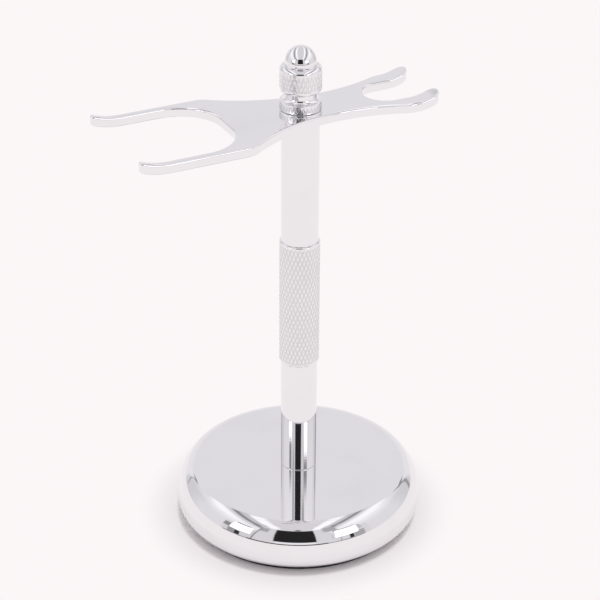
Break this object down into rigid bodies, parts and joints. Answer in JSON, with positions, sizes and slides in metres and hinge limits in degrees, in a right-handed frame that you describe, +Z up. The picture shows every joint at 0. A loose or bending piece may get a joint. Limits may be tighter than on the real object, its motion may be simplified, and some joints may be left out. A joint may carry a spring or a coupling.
{
  "type": "razor and shaving brush stand",
  "caption": "Free-standing chromed stand with a weighted round base, a knurled pole and a turning double-ended fork that holds a razor on one side and a shaving brush on the other.",
  "frame": {"origin": "centre of the pad's underside, on the pole's axis, where the stand meets the surface that it stands on", "axes": "+Z up along the pole; the fork lies along X at rest, with its brush end towards -X and its razor end towards +X"},
  "size_m": [0.0949, 0.0748, 0.1529],
  "materials": {
    "chrome": "mirror polished",
    "knurled_chrome": "polished, diamond knurled",
    "ballast_iron": "as cast",
    "pad_rubber": "matte foam rubber",
    "zinc_steel": "zinc plated",
    "nylon": "natural white"
  },
  "bodies": {
    "stand": {"base_shell": "chrome", "base_ballast": "ballast_iron", "base_pad": "pad_rubber", "base_bolt": "zinc_steel", "base_washer": "zinc_steel", "base_lock_washer": "zinc_steel", "pole_lower": "chrome", "pole_grip": "knurled_chrome", "pole_upper": "chrome", "joining_studs": "zinc_steel", "top_stud": "zinc_steel", "swivel_washer": "nylon"},
    "fork": {"fork_plate": "chrome"},
    "knob_lift": {"knob_washer": "nylon"},
    "knob": {"knob_body": "knurled_chrome", "knob_ball": "chrome"}
  },
  "joints": [
    {"name": "fork_swivel", "type": "hinge", "parent": "stand", "child": "fork", "pos_m": [0, 0, 0.13305], "axis": [0, 0, 1], "continuous": true},
    {"name": "knob_rise", "type": "slide", "parent": "stand", "child": "knob_lift", "axis": [0, 0, 1], "range_m": [0, 0.0075]},
    {"name": "knob_turn", "type": "hinge", "parent": "knob_lift", "child": "knob", "pos_m": [0, 0, 0.1405], "axis": [0, 0, 1], "range_deg": [0, 3330]}
  ],
  "couplings": [
    {"joint": "knob_rise", "follows": "knob_turn", "m_per_rad": 0.00012732}
  ]
}
